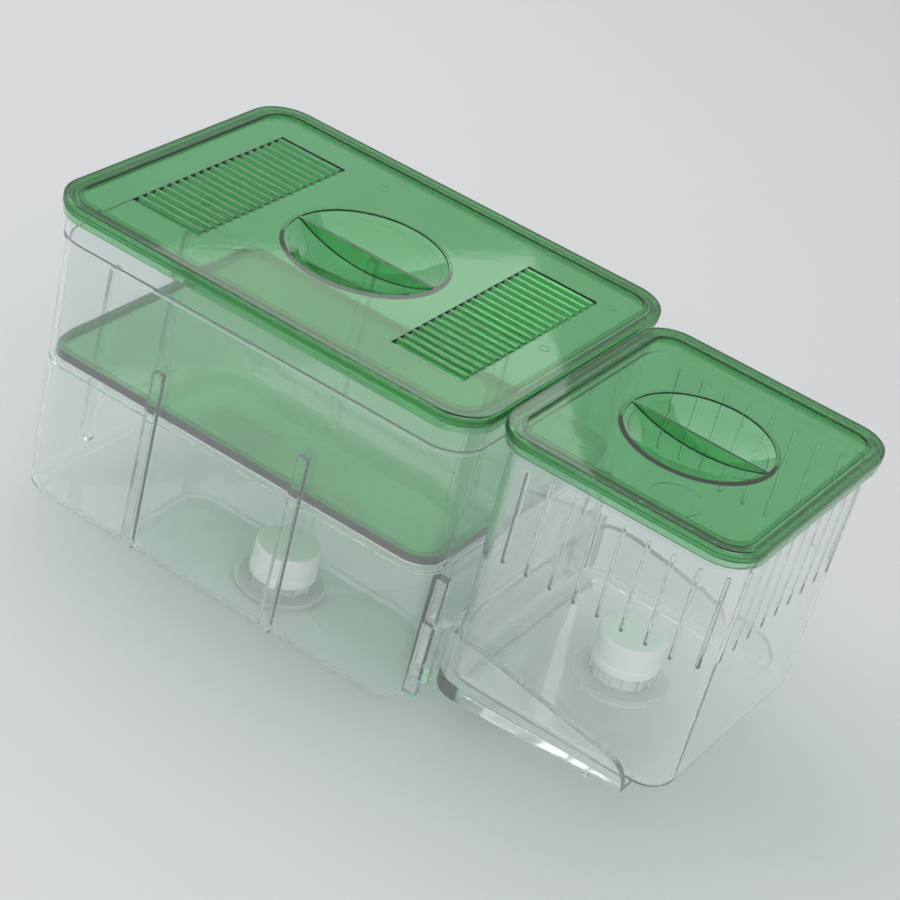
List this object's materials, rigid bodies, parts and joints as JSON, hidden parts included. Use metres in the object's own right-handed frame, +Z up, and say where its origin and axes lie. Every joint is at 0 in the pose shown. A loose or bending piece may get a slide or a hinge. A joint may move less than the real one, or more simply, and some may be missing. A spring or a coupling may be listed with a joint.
{
  "type": "fish breeding box",
  "caption": "Clear fish breeding box with green vented lids, a lift-out separator tray and a smaller slotted tub that hangs in a cradle on its end.",
  "frame": {"origin": "middle of the bounding box on the surface that the large tub stands on", "axes": "+Z up, +X along both boxes towards the small one, front facing -Y"},
  "size_m": [0.308, 0.149, 0.135],
  "materials": {
    "clear_plastic": "clear polished moulded plastic",
    "green_plastic": "translucent green polished moulded plastic",
    "milky_plastic": "milky translucent satin plastic",
    "seal": "soft translucent silicone"
  },
  "bodies": {
    "large_box": {"large_tub": "clear_plastic", "large_drain_seat": "milky_plastic", "large_drain_washer": "seal"},
    "large_lid": {"large_lid": "green_plastic"},
    "separator_tray": {"separator_tray": "green_plastic"},
    "large_drain_cap": {"large_drain_cap": "milky_plastic"},
    "cradle": {"cradle": "clear_plastic"},
    "small_box": {"small_tub": "clear_plastic", "small_drain_seat": "milky_plastic", "small_drain_washer": "seal"},
    "small_lid": {"small_lid": "green_plastic"},
    "small_drain_cap": {"small_drain_cap": "milky_plastic"}
  },
  "joints": [
    {"name": "large_lid_lift", "type": "slide", "parent": "large_box", "child": "large_lid", "axis": [0, 0, 1], "range_m": [0, 0.08]},
    {"name": "tray_lift", "type": "slide", "parent": "large_box", "child": "separator_tray", "axis": [0, 0, 1], "range_m": [0, 0.05]},
    {"name": "large_cap_lift", "type": "slide", "parent": "large_box", "child": "large_drain_cap", "axis": [0, 0, 1], "range_m": [0, 0.02]},
    {"name": "cradle_slide", "type": "slide", "parent": "large_box", "child": "cradle", "axis": [0, 0, 1], "range_m": [0, 0.045]},
    {"name": "small_tub_lift", "type": "slide", "parent": "cradle", "child": "small_box", "axis": [0, 0, 1], "range_m": [0, 0.06]},
    {"name": "small_lid_lift", "type": "slide", "parent": "small_box", "child": "small_lid", "axis": [0, 0, 1], "range_m": [0, 0.06]},
    {"name": "small_cap_lift", "type": "slide", "parent": "small_box", "child": "small_drain_cap", "axis": [0, 0, 1], "range_m": [0, 0.02]}
  ]
}
